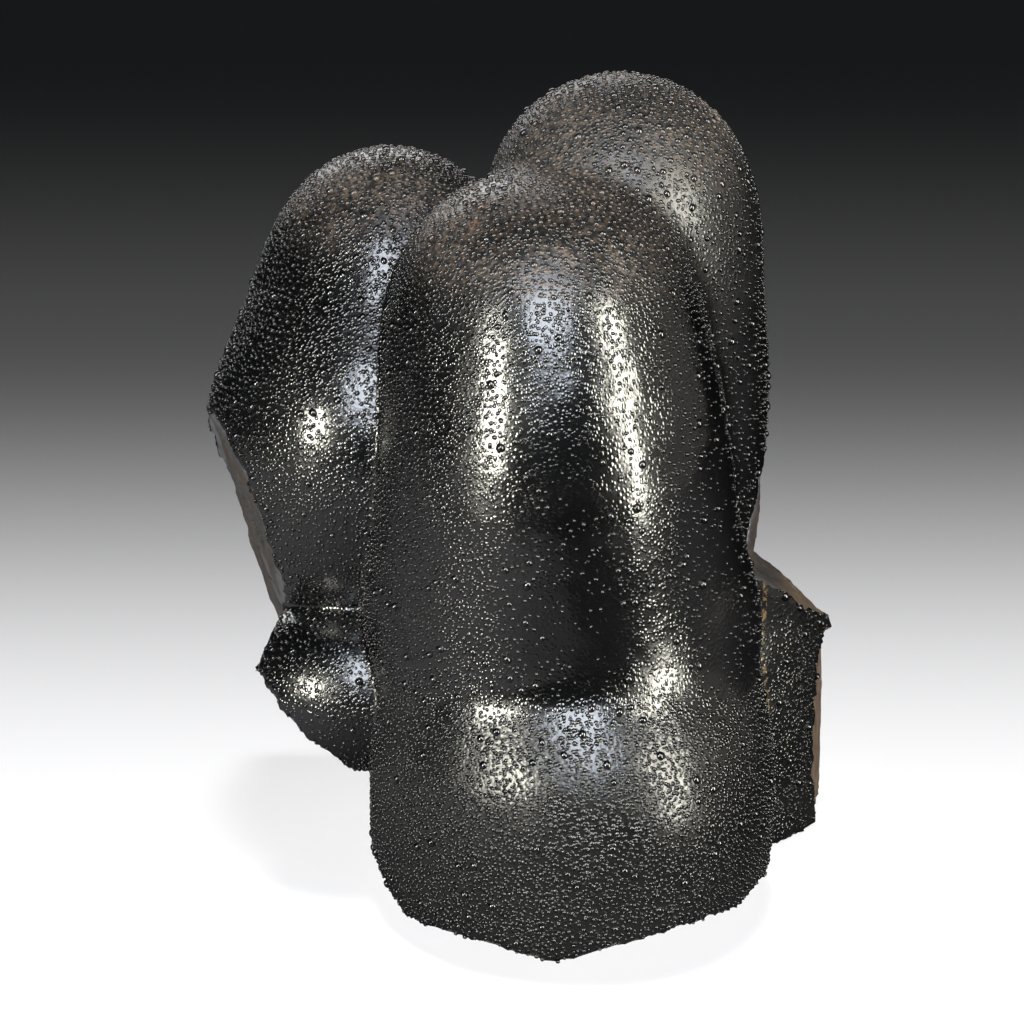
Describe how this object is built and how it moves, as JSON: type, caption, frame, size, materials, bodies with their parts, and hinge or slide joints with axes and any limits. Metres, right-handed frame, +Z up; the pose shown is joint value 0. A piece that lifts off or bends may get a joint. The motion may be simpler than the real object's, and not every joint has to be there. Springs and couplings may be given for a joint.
{
  "type": "botryoidal hematite specimen",
  "caption": "Cabinet piece of kidney ore: rounded, beaded black lobes grown together, with fractured sides and back, cut flat at the foot to stand on.",
  "frame": {"origin": "on the level foot cut, under the middle of the piece's width and a little behind the middle of its depth", "axes": "+Z up from the foot cut, -Y towards the tall front lobe, +X to the right as seen from the front"},
  "size_m": [0.0635, 0.0532, 0.0783],
  "materials": {
    "hematite_skin": "glossy near-black beaded skin, with grey-brown fibrous fracture faces"
  },
  "bodies": {
    "root": {"hematite": "hematite_skin"}
  },
  "joints": []
}
